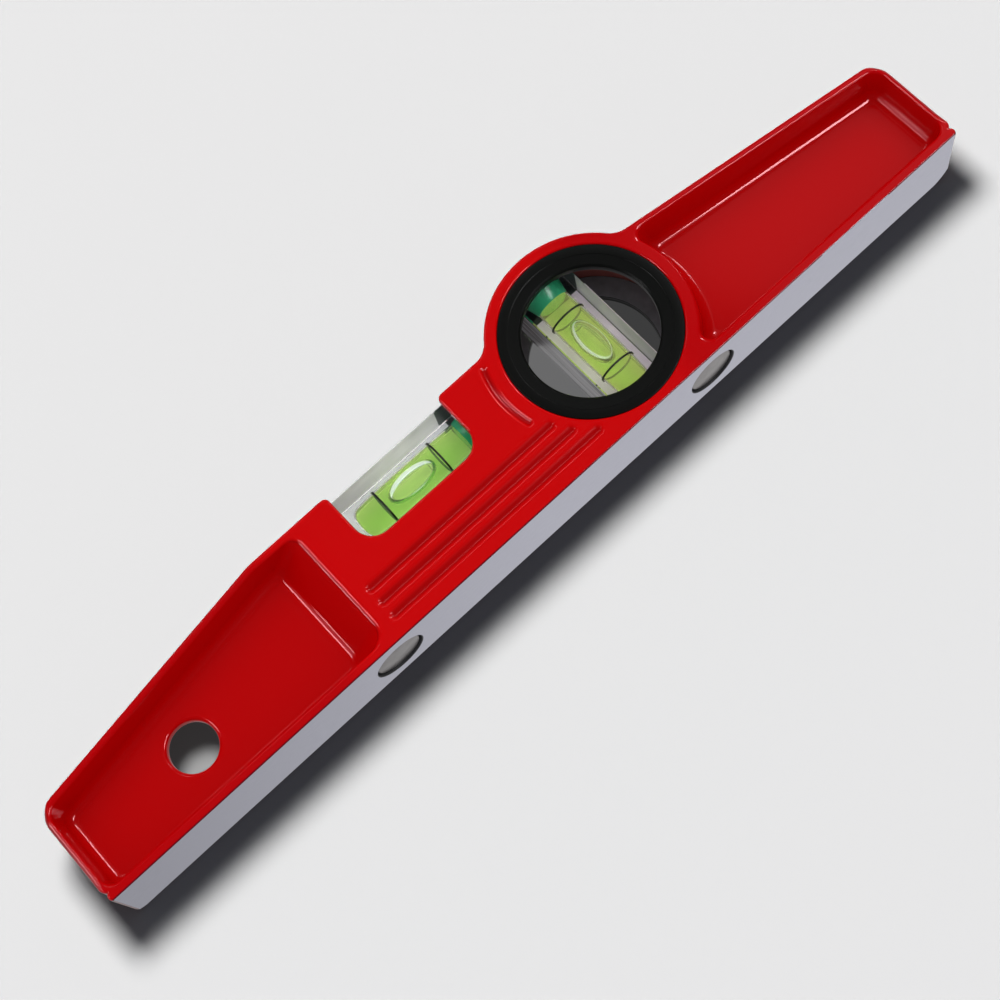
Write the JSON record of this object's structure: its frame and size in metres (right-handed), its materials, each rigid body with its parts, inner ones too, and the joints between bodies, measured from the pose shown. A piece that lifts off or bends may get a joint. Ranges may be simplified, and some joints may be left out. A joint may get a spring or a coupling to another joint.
{
  "type": "magnetic torpedo level",
  "caption": "Cast torpedo level with a magnetic milled base, a level vial under its top edge, a plumb vial in a round window and a hanging hole.",
  "frame": {"origin": "centre of the milled base face, on the casting's middle plane", "axes": "+X along the level towards the plumb vial, +Y away from the base face, +Z out of the front face; stored lying on its back face as in the picture"},
  "size_m": [0.25, 0.0471, 0.02],
  "materials": {
    "red_enamel": "gloss",
    "magnet_metal": "satin",
    "bezel_black": "gloss",
    "clear_acrylic": "gloss",
    "vial_liquid": "gloss",
    "bubble_gas": "gloss",
    "plug_teal": "gloss",
    "line_black": "matte"
  },
  "bodies": {
    "level": {"cast_body": "red_enamel", "left_magnet": "magnet_metal", "right_magnet": "magnet_metal", "front_bezel": "bezel_black", "back_bezel": "bezel_black", "level_block": "clear_acrylic", "level_liquid": "vial_liquid", "level_plug": "plug_teal", "level_line_left": "line_black", "level_line_right": "line_black", "plumb_block": "clear_acrylic", "plumb_liquid": "vial_liquid", "plumb_plug": "plug_teal", "plumb_line_lower": "line_black", "plumb_line_upper": "line_black"},
    "level_bubble": {"level_bubble": "bubble_gas"},
    "plumb_bubble": {"plumb_bubble": "bubble_gas"}
  },
  "joints": [
    {"name": "level_bubble_slide", "type": "slide", "parent": "level", "child": "level_bubble", "axis": [1, 0, 0], "range_m": [-0.008, 0.006], "stiffness_N_per_m": 0.05, "deforming": ["level_liquid"]},
    {"name": "plumb_bubble_slide", "type": "slide", "parent": "level", "child": "plumb_bubble", "axis": [0, 1, 0], "range_m": [-0.008, 0.006], "stiffness_N_per_m": 0.05, "deforming": ["plumb_liquid"]}
  ]
}
